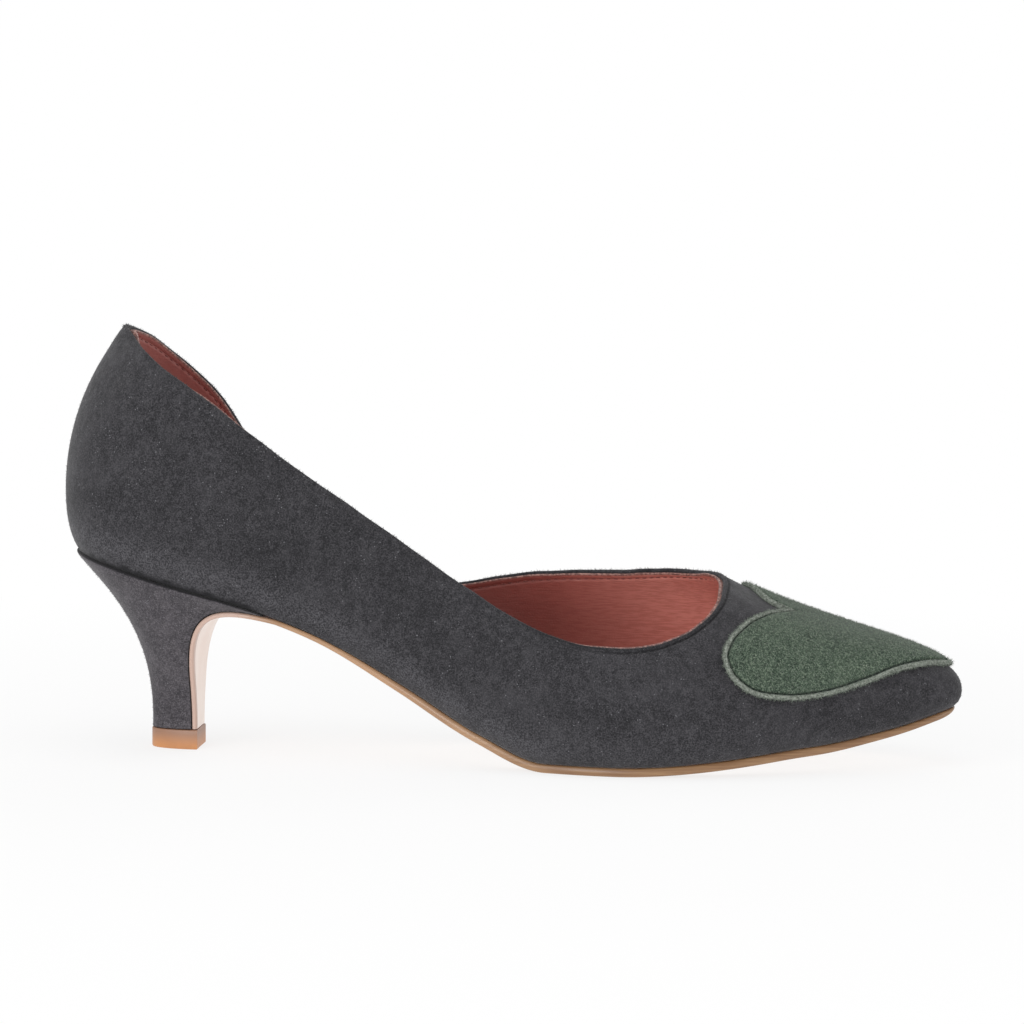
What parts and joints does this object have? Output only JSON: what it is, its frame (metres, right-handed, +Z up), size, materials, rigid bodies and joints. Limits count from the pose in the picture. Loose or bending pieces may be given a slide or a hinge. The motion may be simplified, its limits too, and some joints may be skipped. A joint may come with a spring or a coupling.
{
  "type": "kitten heel pump",
  "caption": "Pointed half d'Orsay pump for a right foot, suede upper with a heart overlay on the vamp, leather sole and a covered kitten heel.",
  "frame": {"origin": "on the floor, under the middle of the shoe's length and width", "axes": "+X from the heel to the toe, +Y from the lateral to the medial side, +Z up"},
  "size_m": [0.2518, 0.0814, 0.1188],
  "materials": {
    "suede": "dark grey suede, matt napped",
    "green_suede": "grey green suede, matt napped",
    "pink_leather": "dusty pink lining leather, smooth",
    "sole_leather": "tan sole leather, waxed edge",
    "heel_suede": "dark grey suede heel cover, matt napped",
    "lift_rubber": "honey coloured rubber, satin"
  },
  "bodies": {
    "root": {"upper": "suede", "heart_overlay": "green_suede", "insole": "pink_leather", "outsole": "sole_leather", "heel": "heel_suede", "top_lift": "lift_rubber"}
  },
  "joints": []
}
